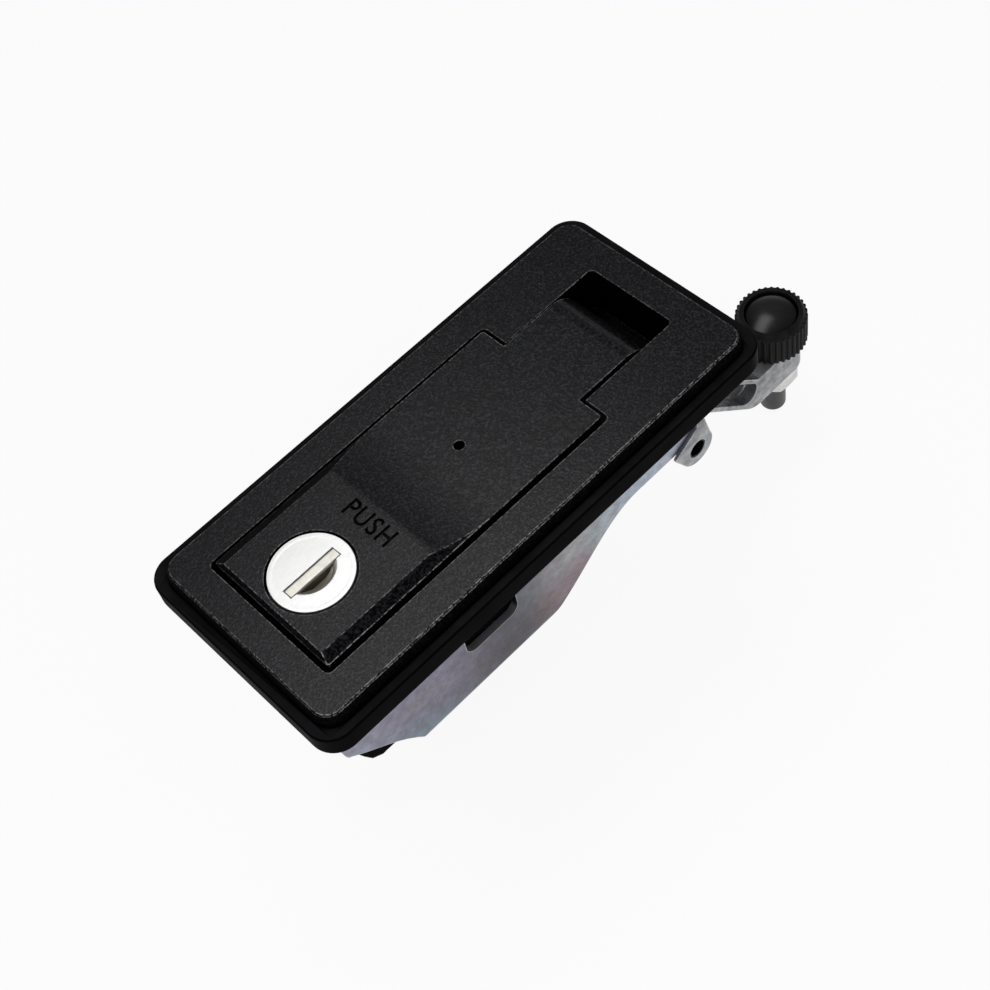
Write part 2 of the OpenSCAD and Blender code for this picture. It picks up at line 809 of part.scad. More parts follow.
module drive_link() {
  color([0.68, 0.68, 0.7])
    across(-link_thick / 2, link_thick / 2)
      difference() {
        union() {
          bar_view(crank_pin_x, crank_pin_z, arm_crank_x, arm_crank_z, link_half - 1.1);
          translate([crank_pin_x, crank_pin_z])
            circle(r = link_half);
          bar_view(arm_crank_x, arm_crank_z, arm_crank_x, arm_crank_z + link_rise, link_half);
        }
        translate([crank_pin_x, crank_pin_z])
          circle(r = link_pin_d / 2 + run_fit);
        bar_view(arm_crank_x, arm_crank_z, arm_crank_x, arm_crank_z + link_rise, link_pin_d / 2 + run_fit);
      }
}

// Limb drawn from the pivot along its own slope
module limb_view(reach) {
  translate([arm_x, arm_z])
    rotate(-limb_slope)
      translate([0, -limb_offset])
        square([reach, limb_thick]);
}

module limb_pocket_view() {
  pocket_half = limb_thick / 2 - limb_rim;
  start = hub_r + 7;
  finish = (foot_depth - arm_depth + 4.4) / sin(limb_slope);
  translate([arm_x, arm_z])
    rotate(-limb_slope)
      bar_view(start, limb_thick / 2 - limb_offset, finish, limb_thick / 2 - limb_offset, pocket_half);
}

// Corner that the round heel leaves out
module heel_view() {
  back = heel_r * tan(limb_slope / 2);
  difference() {
    polygon([[foot_x - back * cos(limb_slope), foot_low + back * sin(limb_slope)], [foot_x - 1, foot_low - 1],
      [foot_x + back, foot_low]]);
    translate([foot_x + back, foot_low + heel_r])
      circle(r = heel_r);
  }
}

module arm() {
  color([0.7, 0.71, 0.71])
    difference() {
      union() {
        across(-arm_half, arm_half) {
          translate([arm_x, arm_z])
            circle(r = hub_r);
          bar_view(arm_x, arm_z, arm_crank_x, arm_crank_z, link_half + 0.3);
          limb_view(limb_end);
        }
        translate([0, 0, foot_low])
          linear_extrude(height = foot_thick) {
            round_plate(foot_x + 1, knob_x + foot_end, arm_half, foot_corner);
            translate([foot_x, -arm_half])
              square([knob_x - foot_x, 2 * arm_half]);
          }
      }
      both_sides(arm_half - limb_pocket, arm_half + 1)
        limb_pocket_view();
      across(-arm_half - 1, arm_half + 1)
        heel_view();
      across(-fork_gap, fork_gap)
        translate([arm_crank_x, arm_crank_z])
          circle(r = link_half + link_rise + 0.5);
      cross_bar(arm_x, arm_z, arm_pin_d / 2 + run_fit, -arm_half - 1, arm_half + 1);
      cross_bar(arm_crank_x, arm_crank_z, link_pin_d / 2, -arm_half - 1, arm_half + 1);
      translate([knob_x, 0, foot_low - 1])
        cylinder(r = stud_d / 2 + run_fit, h = foot_thick + 2);
    }
}

module arm_link_pin() {
  color([0.55, 0.55, 0.57])
    cross_bar(arm_crank_x, arm_crank_z, link_pin_d / 2, -arm_half, arm_half);
}

module jam_nut() {
  nut_r = nut_flats / 2 / cos(30);
  color([0.78, 0.77, 0.75])
    translate([knob_x, 0, foot_low - nut_thick])
      difference() {
        intersection() {
          cylinder(r = nut_r, h = nut_thick, $fn = 6);
          cylinder(r1 = nut_flats / 2, r2 = nut_flats / 2 + nut_thick * 1.7, h = nut_thick);
        }
        translate([0, 0, -1])
          cylinder(r = stud_d / 2 + run_fit, h = nut_thick + 2);
      }
}

module adjuster_stud() {
  point = 1.2;
  color([0.5, 0.5, 0.5])
    translate([knob_x, 0, -stud_depth]) {
      cylinder(r1 = stud_d / 2 - point, r2 = stud_d / 2, h = point);
      translate([0, 0, point])
        cylinder(r = stud_d / 2, h = knob_low + 6 + stud_depth - point);
    }
}

module knob() {
  tooth = 0.55;
  crown = 1.2;
  color([0.06, 0.06, 0.06])
    translate([knob_x, 0, knob_low])
      difference() {
        union() {
          linear_extrude(height = knob_height - crown) {
            circle(r = knob_d / 2);
            for (i = [0:knob_teeth - 1])
              rotate(i * 360 / knob_teeth)
                translate([knob_d / 2, 0])
                  circle(r = tooth, $fn = 16);
          }
          translate([0, 0, knob_height - crown])
            cylinder(r1 = knob_d / 2, r2 = knob_d / 2 - 0.8, h = crown);
        }
        translate([0, 0, knob_height - dish])
          cylinder(r = knob_d / 2 - knob_rim, h = 3);
        translate([0, 0, -1])
          cylinder(r = stud_d / 2 + run_fit, h = 7 + side_fit);
      }
}

module bumper_pad() {
  pad_r = knob_d / 2 - knob_rim;
  dome = 2;
  dome_r = (pad_r * pad_r + dome * dome) / (2 * dome);
  color([0.07, 0.07, 0.07])
    translate([knob_x, 0, knob_low + knob_height - dish])
      rotate_extrude()
        intersection() {
          translate([0, 0.5 + dome - dome_r])
            circle(r = dome_r, $fn = 160);
          square([pad_r, dome + 1]);
        }
}

pan();
gasket();
mounting_bracket();
bracket_screws();
ear_plates();
lever_pin();
lever_spring();
arm_pin();
arm_spacers();
lever();
lever_crank();
crank_screws();
crank_pin();
lock_barrel();
lock_nut();
lock_face();
lock_plug();
lock_cam();
cam_screw();
dust_shutter();
drive_link();
arm();
arm_link_pin();
jam_nut();
adjuster_stud();
knob();
bumper_pad();
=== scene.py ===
import bpy
import json
import math
from mathutils import Matrix, Vector

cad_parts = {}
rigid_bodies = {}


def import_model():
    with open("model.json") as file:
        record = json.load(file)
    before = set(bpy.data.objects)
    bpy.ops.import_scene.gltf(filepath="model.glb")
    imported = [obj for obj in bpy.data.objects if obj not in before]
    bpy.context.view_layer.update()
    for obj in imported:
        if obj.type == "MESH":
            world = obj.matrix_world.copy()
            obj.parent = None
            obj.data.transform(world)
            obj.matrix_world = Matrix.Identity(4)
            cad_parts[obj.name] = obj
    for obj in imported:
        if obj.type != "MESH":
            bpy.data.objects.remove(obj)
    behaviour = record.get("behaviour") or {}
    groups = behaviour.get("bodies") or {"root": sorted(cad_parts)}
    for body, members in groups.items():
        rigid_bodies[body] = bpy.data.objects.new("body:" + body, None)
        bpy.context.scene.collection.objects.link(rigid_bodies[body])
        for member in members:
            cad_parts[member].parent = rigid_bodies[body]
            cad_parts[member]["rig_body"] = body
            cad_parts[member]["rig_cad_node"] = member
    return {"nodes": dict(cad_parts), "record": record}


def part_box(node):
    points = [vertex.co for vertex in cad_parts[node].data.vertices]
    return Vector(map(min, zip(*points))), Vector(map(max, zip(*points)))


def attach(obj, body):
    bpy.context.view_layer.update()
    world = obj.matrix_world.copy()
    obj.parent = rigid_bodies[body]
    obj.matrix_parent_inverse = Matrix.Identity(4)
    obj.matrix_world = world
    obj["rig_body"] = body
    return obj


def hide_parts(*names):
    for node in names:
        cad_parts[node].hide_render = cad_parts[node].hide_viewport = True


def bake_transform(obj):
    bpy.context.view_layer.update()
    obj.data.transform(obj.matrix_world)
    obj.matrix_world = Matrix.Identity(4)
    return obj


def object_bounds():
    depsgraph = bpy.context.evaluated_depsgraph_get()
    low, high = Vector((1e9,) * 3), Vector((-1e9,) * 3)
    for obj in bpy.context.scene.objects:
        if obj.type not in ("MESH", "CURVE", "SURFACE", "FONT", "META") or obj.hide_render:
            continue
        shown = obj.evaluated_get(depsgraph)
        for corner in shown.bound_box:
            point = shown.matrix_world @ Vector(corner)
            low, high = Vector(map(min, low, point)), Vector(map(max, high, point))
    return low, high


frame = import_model()
cadLow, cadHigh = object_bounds()
nodes = frame["nodes"]
nodeBody = {n: b for b, members in frame["record"]["behaviour"]["bodies"].items() for n in members}
mm = 0.001
mergeGap = 0.000002  # points closer than this are one
print("latch frame loaded,", len(nodes), "CAD nodes")


# camera at the photograph's angle
viewpoint = {
    "place": (-0.1180, -0.2020, 0.3298),
    "right": (0.7070, -0.6916, -0.1480),
    "up": (0.6423, 0.5402, 0.5437),
    "back": (-0.2961, -0.4794, 0.8261),
    "lens": 61.19,
}
cameraData = bpy.data.cameras.new("photoCamera")
cameraData.sensor_width = 36
cameraData.lens = viewpoint["lens"]
camera = bpy.data.objects.new("photoCamera", cameraData)
turn = Matrix((viewpoint["right"], viewpoint["up"], viewpoint["back"])).transposed()
camera.matrix_world = Matrix.Translation(viewpoint["place"]) @ turn.to_4x4()
bpy.context.scene.collection.objects.link(camera)
bpy.context.scene.camera = camera
print("camera set")


# node helpers for the finishes
def addNode(tree, kind, inputs=None, **settings):
    node = tree.nodes.new(kind)
    for key, value in settings.items():
        setattr(node, key, value)
    for key, value in (inputs or {}).items():
        if isinstance(value, bpy.types.NodeSocket):
            tree.links.new(value, node.inputs[key])
        else:
            node.inputs[key].default_value = value
    return node


def ramp(tree, factor, stops, smooth=False):
    node = addNode(tree, "ShaderNodeValToRGB", {"Fac": factor})
    band = node.color_ramp
    band.interpolation = "EASE" if smooth else "LINEAR"
    while len(band.elements) < len(stops):
        band.elements.new(0.5)
    for element, (place, colour) in zip(band.elements, stops):
        element.position = place
        shade = colour if isinstance(colour, (tuple, list)) else (colour,) * 3
        element.color = (*shade, 1)
    return node.outputs["Color"]


def blendColour(tree, factor, first, second, mode="MIX"):
    node = addNode(tree, "ShaderNodeMix", data_type="RGBA", blend_type=mode)
    for socket, value in ((node.inputs[0], factor), (node.inputs[6], first), (node.inputs[7], second)):
        if isinstance(value, bpy.types.NodeSocket):
            tree.links.new(value, socket)
        else:
            socket.default_value = value
    return node.outputs[2]


# one colour times another
def dimmed(tree, first, second):
    return blendColour(tree, 1.0, first, second, "MULTIPLY")


# 0 at the first limit, 1 at the second
def spread(tree, value, start, end):
    return addNode(tree, "ShaderNodeMapRange", {"Value": value, "From Min": start, "From Max": end}).outputs[0]


def axesOf(tree, vector):
    return addNode(tree, "ShaderNodeSeparateXYZ", {"Vector": vector}).outputs


def noise(tree, place, scale, detail=3.0, roughness=0.55):
    return addNode(tree, "ShaderNodeTexNoise",
                   {"Vector": place, "Scale": scale, "Detail": detail, "Roughness": roughness}).outputs["Fac"]


def stretched(tree, place, scale):
    return addNode(tree, "ShaderNodeMapping", {"Vector": place, "Scale": scale}).outputs["Vector"]


# which way the piece's own surface faces
def facing(tree):
    return addNode(tree, "ShaderNodeTexCoord").outputs["Normal"]


# painted shade: dark in gaps and hollows, bright on open faces
def hollows(tree, reach):
    return addNode(tree, "ShaderNodeAmbientOcclusion", {"Distance": reach}, samples=6).outputs["AO"]


# mask that is bright on outer edges only, for wear and painted edge highlights
def edgeMask(tree, radius, full=0.80, none=0.985):
    rounded = addNode(tree, "ShaderNodeBevel", {"Radius": radius}, samples=4).outputs["Normal"]
    plain = addNode(tree, "ShaderNodeNewGeometry").outputs["Normal"]
    agree = addNode(tree, "ShaderNodeVectorMath", {0: rounded, 1: plain}, operation="DOT_PRODUCT").outputs["Value"]
    return ramp(tree, agree, [(full, 1.0), (none, 0.0)])


def startFinish(name):
    finish = bpy.data.materials.new(name)
    finish.use_nodes = True
    tree = finish.node_tree
    shader = tree.nodes["Principled BSDF"]
    place = addNode(tree, "ShaderNodeTexCoord").outputs["Object"]
    return finish, tree, shader, place


def plug(tree, shader, **links):
    for key, socket in links.items():
        tree.links.new(socket, shader.inputs[key.replace("_", " ")])


# textured black powder coat on the pan and the lever, with painted shade on slopes, walls, far faces and hollows,
# and painted glints on its edges and in its grain
coatLook = {"wrinkle": 1600, "pore": 3400, "patch": 45, "scuff": 1300,
            "dark": (0.0016, 0.0016, 0.0018), "light": (0.0255, 0.0260, 0.0310), "rubAndGlint": (0.52, 0.52, 0.53),
            "bump": 0.9, "relief": 0.00007, "rough": (0.18, 0.29), "slope": 0.80,
            "sides": 0.55, "wallShade": 0.25, "farSideShade": 0.35, "hollow": 0.10, "reach": 0.018, "edge": 0.0005,
            "word": ((-28.0, -0.5), (3.6, 8.6))}


# mask of the small area round the engraved word
def wordPatch(tree, place):
    axes = axesOf(tree, place)
    middle, half = coatLook["word"]
    inside = [addNode(tree, "ShaderNodeMath", {0: axes[i], 1: middle[i] * mm, 2: half[i] * mm},
                      operation="COMPARE").outputs[0] for i in range(2)]
    return addNode(tree, "ShaderNodeMath", {0: inside[0], 1: inside[1]}, operation="MULTIPLY").outputs[0]


def coatFinish(name, gloss):
    finish, tree, shader, place = startFinish(name)
    wrinkle = addNode(tree, "ShaderNodeTexNoise", {"Vector": place, "Scale": coatLook["wrinkle"], "Detail": 2.0,
                                                   "Roughness": 0.6, "Distortion": 0.5}).outputs["Fac"]
    pore = noise(tree, place, coatLook["pore"], 1.0, 0.5)
    patch = noise(tree, place, coatLook["patch"], 2.0, 0.5)
    # grain of the coat's texture; its bright specks are painted sheen glints
    body = ramp(tree, wrinkle, [(0.44, coatLook["dark"]), (0.68, coatLook["light"])])
    body = dimmed(tree, body, ramp(tree, patch, [(0.30, 0.84), (0.70, 1.0)]))
    lean = axesOf(tree, facing(tree))
    upward = spread(tree, lean["Z"], 0.84, 0.97)
    # painted shade: faces that do not point straight up are darkened
    body = dimmed(tree, body, ramp(tree, upward, [(0.0, coatLook["sides"]), (1.0, 1.0)]))
    # painted shade: steep walls are darkened further
    wallShadeMask = spread(tree, lean["Z"], 0.10, 0.70)
    body = dimmed(tree, body, ramp(tree, wallShadeMask, [(0.0, coatLook["wallShade"]), (1.0, 1.0)]))
    # painted shade: faces turned towards +Y are darkened
    farSideShade = spread(tree, lean["Y"], 0.12, 0.40)
    body = dimmed(tree, body, ramp(tree, farSideShade, [(0.0, 1.0), (1.0, coatLook["farSideShade"])]))
    # painted shade: gaps, recesses and the finger pocket are darkened
    clear = hollows(tree, coatLook["reach"])
    body = dimmed(tree, body, ramp(tree, clear, [(0.35, coatLook["hollow"]), (0.85, 1.0)]))
    # pale rubbed edges, partly wear and partly painted glint: stronger on edges facing -Y, kept out of shaded
    # hollows
    rubAndGlint = ramp(tree, noise(tree, place, coatLook["scuff"], 3.0, 0.7), [(0.42, 0.0), (0.58, 0.9)])
    rubAndGlint = dimmed(tree, rubAndGlint, ramp(tree, clear, [(0.40, 0.0), (0.62, 1.0)]))
    glintFacing = spread(tree, lean["Y"], 0.10, -0.25)
    rubAndGlint = dimmed(tree, rubAndGlint, ramp(tree, glintFacing, [(0.0, 0.18), (1.0, 1.0)]))
    wornAndGlint = dimmed(tree, edgeMask(tree, coatLook["edge"], 0.94, 0.994), rubAndGlint)
    wornAndGlint = blendColour(tree, wordPatch(tree, place), wornAndGlint, (0, 0, 0, 1))  # the lettering stays free of wear and painted glint
    colour = blendColour(tree, wornAndGlint, body, (*coatLook["rubAndGlint"], 1))
    rough = ramp(tree, wrinkle, [(0.35, coatLook["rough"][1]), (0.70, coatLook["rough"][0])])
    rough = blendColour(tree, upward, (*[coatLook["slope"]] * 3, 1), rough)  # slopes are duller
    height = blendColour(tree, 0.30, wrinkle, pore)
    bump = addNode(tree, "ShaderNodeBump", {"Height": height, "Strength": coatLook["bump"],
                                            "Distance": coatLook["relief"]})
    plug(tree, shader, Base_Color=colour, Roughness=rough, Normal=bump.outputs["Normal"])
    shader.inputs["Specular IOR Level"].default_value = gloss
    return finish


# moulded rubber: the gasket is dull, the bumper has a softer shine; faces that point up get painted light and
# hollows get painted shade
rubberLook = {"cloud": 110, "fine": 2600, "paintedTopLight": 6.0, "reach": 0.004, "hollow": 0.10}


def rubberFinish(name, dark, light, roughLow, roughHigh, gloss):
    finish, tree, shader, place = startFinish(name)
    cloud = noise(tree, place, rubberLook["cloud"], 4.0, 0.6)
    fine = noise(tree, place, rubberLook["fine"], 2.0, 0.5)
    colour = ramp(tree, cloud, [(0.30, dark), (0.72, light)])
    level = axesOf(tree, facing(tree))["Z"]
    # painted light: faces that point up are made six times lighter
    paintedTopLight = spread(tree, level, 0.90, 0.99)
    colour = blendColour(tree, paintedTopLight, colour, dimmed(tree, colour, (*[rubberLook["paintedTopLight"]] * 3, 1)))
    # painted shade: hollows and the groove beside the pan are darkened
    clear = hollows(tree, rubberLook["reach"])
    colour = dimmed(tree, colour, ramp(tree, clear, [(0.50, rubberLook["hollow"]), (0.80, 1.0)]))
    rough = ramp(tree, cloud, [(0.30, roughLow), (0.70, roughHigh)])
    bump = addNode(tree, "ShaderNodeBump", {"Height": fine, "Strength": 0.12, "Distance": 0.00005})
    plug(tree, shader, Base_Color=colour, Roughness=rough, Normal=bump.outputs["Normal"])
    shader.inputs["Specular IOR Level"].default_value = gloss
    return finish


# zinc plated sheet with a clear passivate that shows faint lilac, pink and blue, with painted reflection along its
# length, painted shade low down and in the channel, and painted light on upward faces and edges
zincLook = {"bands": [(0.30, (0.24, 0.29, 0.33)), (0.42, (0.235, 0.245, 0.29)), (0.52, (0.245, 0.225, 0.275)),
                      (0.62, (0.268, 0.232, 0.236)), (0.70, (0.25, 0.252, 0.25)), (0.80, (0.235, 0.275, 0.31))],
            "length": [(0.0, (1.08, 1.10, 1.16)), (0.22, (0.84, 0.86, 0.92)), (0.44, (0.36, 0.37, 0.38)),
                       (0.62, (1.14, 0.96, 0.88)), (0.82, (1.46, 1.62, 1.60)), (1.0, (1.75, 1.95, 1.95))],
            "height": [(0.0, 0.66), (0.18, 0.80), (0.55, 1.0), (1.0, (1.06, 1.12, 1.16))],
            "ends": (-0.067, 0.054), "levels": (-0.041, -0.004), "drift": 26, "grain": 700, "mottle": 320,
            "specks": 2100, "speck": (0.03, 0.03, 0.035), "cut": (0.85, 0.86, 0.88), "edge": (0.80, 0.80, 0.80), "reach": 0.02,
            "rough": (0.30, 0.46)}


def zincSheetFinish():
    finish, tree, shader, place = startFinish("clearZincSheet")
    drift = noise(tree, stretched(tree, place, (1.0, 1.0, 1.9)), zincLook["drift"], 3.0, 0.55)
    colour = ramp(tree, drift, zincLook["bands"], True)
    axes = axesOf(tree, place)
    share = spread(tree, axes["X"], *zincLook["ends"])
    # painted reflection: the sheet is made lighter and darker along its length, with some of the passivate's pink
    # and blue tint
    colour = dimmed(tree, colour, ramp(tree, share, zincLook["length"], True))
    # painted shade low on the sheet and slight painted light near its top
    bottomShade = spread(tree, axes["Z"], *zincLook["levels"])
    colour = dimmed(tree, colour, ramp(tree, bottomShade, zincLook["height"], True))
    grainLine = noise(tree, stretched(tree, place, (1.0, 6.0, 6.0)), zincLook["grain"], 2.0, 0.6)
    tone = ramp(tree, grainLine, [(0.30, 0.74), (0.70, 1.20)])
    colour = dimmed(tree, colour, tone)
    mottle = ramp(tree, noise(tree, place, zincLook["mottle"], 3.0, 0.6), [(0.32, 0.80), (0.68, 1.17)])
    colour = dimmed(tree, colour, mottle)
    specks = noise(tree, place, zincLook["specks"], 1.0, 0.4)
    specks = ramp(tree, specks, [(0.70, 0.0), (0.80, 0.75)])
    colour = blendColour(tree, specks, colour, (*zincLook["speck"], 1))
    # painted highlight on the sheet's outer edges
    bright = dimmed(tree, edgeMask(tree, 0.0005), (0.6, 0.6, 0.6, 1))
    colour = blendColour(tree, bright, colour, (*zincLook["edge"], 1))
    level = axesOf(tree, facing(tree))["Z"]
    cut = spread(tree, level, 0.3, 0.7)
    colour = blendColour(tree, cut, colour, (*zincLook["cut"], 1))  # painted light: faces that point upward, such as the sheet's top cut edges, are lightened
    inside = ramp(tree, hollows(tree, zincLook["reach"]), [(0.15, 0.05), (0.50, 1.0)])
    colour = dimmed(tree, colour, inside)  # painted shade: the channel's inside is darkened where it is enclosed
    rough = ramp(tree, drift, [(0.30, zincLook["rough"][0]), (0.72, zincLook["rough"][1])])
    bump = addNode(tree, "ShaderNodeBump", {"Height": grainLine, "Strength": 0.10, "Distance": 0.00005})
    plug(tree, shader, Base_Color=colour, Roughness=rough, Normal=bump.outputs["Normal"])
    shader.inputs["Metallic"].default_value = 0.9
    return finish


# satin zinc of the castings, with painted highlights on their edges
castLook = {"dark": (0.14, 0.147, 0.158), "light": (0.43, 0.44, 0.452), "edge": (0.90, 0.90, 0.89),
            "mottle": 320, "cloud": 60, "rough": (0.22, 0.42)}


def castFinish():
    finish, tree, shader, place = startFinish("satinZincCasting")
    mottle = noise(tree, place, castLook["mottle"], 4.0, 0.65)
    cloud = noise(tree, place, castLook["cloud"], 2.0, 0.5)
    colour = ramp(tree, mottle, [(0.30, castLook["dark"]), (0.72, castLook["light"])])
    tone = ramp(tree, cloud, [(0.32, 0.80), (0.68, 1.12)])
    colour = dimmed(tree, colour, tone)
    # painted highlight on the outer edges and ridges
    bright = dimmed(tree, edgeMask(tree, 0.0008), (0.6, 0.6, 0.6, 1))
    colour = blendColour(tree, bright, colour, (*castLook["edge"], 1))
    rough = ramp(tree, mottle, [(0.30, castLook["rough"][1]), (0.70, castLook["rough"][0])])
    bump = addNode(tree, "ShaderNodeBump", {"Height": mottle, "Strength": 0.22, "Distance": 0.00012})
    plug(tree, shader, Base_Color=colour, Roughness=rough, Normal=bump.outputs["Normal"])
    shader.inputs["Metallic"].default_value = 0.75
    return finish


# satin nickel of the lock, brushed along one way, with a turned step near the rim of the face
nickelLook = {"base": (0.92, 0.92, 0.91), "low": (0.80, 0.80, 0.795), "rough": (0.26, 0.40), "axis": -45.8,
              "step": 9.35, "ramp": 0.15}


def nickelFinish():
    finish, tree, shader, place = startFinish("satinNickel")
    lines = noise(tree, stretched(tree, place, (1.0, 22.0, 4.0)), 420, 3.0, 0.6)
    scuffs = noise(tree, stretched(tree, place, (9.0, 1.4, 1.0)), 260, 4.0, 0.7)
    colour = ramp(tree, lines, [(0.28, nickelLook["low"]), (0.60, nickelLook["base"])])
    scuffTone = ramp(tree, scuffs, [(0.62, 1.0), (0.76, 0.86)])
    colour = dimmed(tree, colour, scuffTone)
    rough = ramp(tree, lines, [(0.30, nickelLook["rough"][1]), (0.70, nickelLook["rough"][0])])
    centred = addNode(tree, "ShaderNodeVectorMath", {0: place, 1: (-nickelLook["axis"] * mm, 0, 0)}).outputs[0]
    flat = addNode(tree, "ShaderNodeVectorMath", {0: centred, 1: (1, 1, 0)}, operation="MULTIPLY").outputs[0]
    radius = addNode(tree, "ShaderNodeVectorMath", {0: flat}, operation="LENGTH").outputs["Value"]
    step = spread(tree, radius, (nickelLook["step"] - nickelLook["ramp"]) * mm,
                  (nickelLook["step"] + nickelLook["ramp"]) * mm)
    brush = addNode(tree, "ShaderNodeBump", {"Height": lines, "Strength": 0.06, "Distance": 0.00003})
    bump = addNode(tree, "ShaderNodeBump", {"Height": step, "Strength": 0.10, "Distance": 0.00010,
                                            "Normal": brush.outputs["Normal"]})
    plug(tree, shader, Base_Color=colour, Roughness=rough, Normal=bump.outputs["Normal"])
    shader.inputs["Metallic"].default_value = 0.95
    return finish


# the shutter has a warmer, duller nickel
shutterLook = {"dark": (0.76, 0.735, 0.66), "light": (0.90, 0.885, 0.81)}


# turned metal: the steel of pins, screws, stud, nut and spring, the brass plug and the shutter
def turnedFinish(name, dark, light, roughLow, roughHigh, metal=0.92):
    finish, tree, shader, place = startFinish(name)
    rings = noise(tree, stretched(tree, place, (1.0, 1.0, 9.0)), 520, 3.0, 0.6)
    film = noise(tree, place, 140, 3.0, 0.6)
    colour = ramp(tree, film, [(0.30, dark), (0.70, light)])
    tone = ramp(tree, rings, [(0.30, 0.84), (0.70, 1.06)])
    colour = dimmed(tree, colour, tone)
    rough = ramp(tree, film, [(0.30, roughLow), (0.70, roughHigh)])
    bump = addNode(tree, "ShaderNodeBump", {"Height": rings, "Strength": 0.10, "Distance": 0.00004})
    plug(tree, shader, Base_Color=colour, Roughness=rough, Normal=bump.outputs["Normal"])
    shader.inputs["Metallic"].default_value = metal
    return finish


# matte moulded plastic of the knob
knobLook = {"dark": (0.0042, 0.0042, 0.0046), "light": (0.0115, 0.0115, 0.0120), "rough": (0.46, 0.62)}


def knobFinish():
    finish, tree, shader, place = startFinish("matteBlackPlastic")
    cloud = noise(tree, place, 420, 4.0, 0.6)
    colour = ramp(tree, cloud, [(0.30, knobLook["dark"]), (0.72, knobLook["light"])])
    pale = dimmed(tree, edgeMask(tree, 0.0004), (0.35, 0.35, 0.35, 1))
    colour = blendColour(tree, pale, colour, (0.05, 0.05, 0.05, 1))
    rough = ramp(tree, cloud, [(0.30, knobLook["rough"][0]), (0.70, knobLook["rough"][1])])
    bump = addNode(tree, "ShaderNodeBump", {"Height": cloud, "Strength": 0.15, "Distance": 0.00008})
    plug(tree, shader, Base_Color=colour, Roughness=rough, Normal=bump.outputs["Normal"])
    shader.inputs["Specular IOR Level"].default_value = 0.10
    return finish


coat = coatFinish("texturedBlackCoat", 0.23)
# copy of the coat with almost no shine, used on walls and slopes as painted shade
coatShadedSide = coatFinish("texturedBlackShadedSide", 0.03)
rubber = rubberFinish("dullBlackRubber", (0.0008, 0.0008, 0.0009), (0.0018, 0.0018, 0.0020), 0.46, 0.62, 0.010)
bumperRubber = rubberFinish("softBlackRubber", (0.0012, 0.0012, 0.0013), (0.0024, 0.0024, 0.0026), 0.20, 0.30, 0.42)
# near-black finish for the cut faces of the letters: painted shade inside the engraving
engraved = rubberFinish("engravedShadeBlack", (0.0010, 0.0010, 0.0011), (0.0022, 0.0022, 0.0024), 0.70, 0.85, 0.02)
zincSheet = zincSheetFinish()
cast = castFinish()
nickel = nickelFinish()
steel = turnedFinish("plainSteel", (0.30, 0.30, 0.30), (0.50, 0.50, 0.49), 0.30, 0.46)
stain = turnedFinish("dullSteel", (0.055, 0.055, 0.054), (0.105, 0.105, 0.102), 0.34, 0.50)
brass = turnedFinish("dullBrass", (0.34, 0.30, 0.24), (0.62, 0.56, 0.46), 0.30, 0.46, 0.45)
bright = turnedFinish("brightSteel", (0.52, 0.52, 0.51), (0.78, 0.78, 0.77), 0.16, 0.28)
# near-black steel for the arm pin: painted shade, so the pin in the ear reads as a dark hole
pinHoleShade = turnedFinish("pinHoleShadeSteel", (0.010, 0.010, 0.011), (0.026, 0.026, 0.028), 0.40, 0.55)
shutterNickel = turnedFinish("warmNickel", shutterLook["dark"], shutterLook["light"], 0.28, 0.42)
plastic = knobFinish()
print("finishes mixed")


# modelling helpers
def pickNone():
    if bpy.context.object and bpy.context.object.mode != "OBJECT":
        bpy.ops.object.mode_set(mode="OBJECT")
    bpy.ops.object.select_all(action="DESELECT")


def pickOnly(piece):
    pickNone()
    piece.select_set(True)
    bpy.context.view_layer.objects.active = piece


def applyAll(piece):
    pickOnly(piece)
    for modifier in list(piece.modifiers):
        bpy.ops.object.modifier_apply(modifier=modifier.name)


# a merged copy of a CAD node, with flat areas joined up
def copyNode(nodeName, pieceName):
    pickOnly(nodes[nodeName])
    bpy.ops.object.duplicate()
    piece = bpy.context.object
    piece.parent = None
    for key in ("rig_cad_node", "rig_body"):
        if key in piece:
            del piece[key]
    piece.name = pieceName
    piece.data.name = pieceName
    piece.data.materials.clear()
    bpy.ops.object.mode_set(mode="EDIT")
    bpy.ops.mesh.customdata_custom_splitnormals_clear()
    bpy.ops.mesh.select_all(action="SELECT")
    bpy.ops.mesh.remove_doubles(threshold=mergeGap)
    bpy.ops.mesh.dissolve_limited(angle_limit=math.radians(0.4))
    bpy.ops.object.mode_set(mode="OBJECT")
    return piece


# smooth shading that leaves the large flats flat
def smoothShade(piece, angle=38):
    pickOnly(piece)
    bpy.ops.object.shade_smooth_by_angle(angle=math.radians(angle))
    even = piece.modifiers.new("evenShade", "WEIGHTED_NORMAL")
    even.mode = "FACE_AREA"
    even.weight = 100
    even.keep_sharp = True
    applyAll(piece)


# joins points that a narrow bevel left on top of each other
def closeSeams(piece):
    pickOnly(piece)
    bpy.ops.object.mode_set(mode="EDIT")
    bpy.ops.mesh.select_all(action="SELECT")
    bpy.ops.mesh.remove_doubles(threshold=mergeGap)
    bpy.ops.mesh.dissolve_degenerate(threshold=mergeGap)
    bpy.ops.mesh.normals_make_consistent(inside=False)
    bpy.ops.object.mode_set(mode="OBJECT")


def roundEdges(piece, width, segments=2, angle=28):
    bevel = piece.modifiers.new("roundEdges", "BEVEL")
    bevel.width = width * mm
    bevel.segments = segments
    bevel.limit_method = "ANGLE"
    bevel.angle_limit = math.radians(angle)
    bevel.use_clamp_overlap = True
    applyAll(piece)
    closeSeams(piece)
    smoothShade(piece)


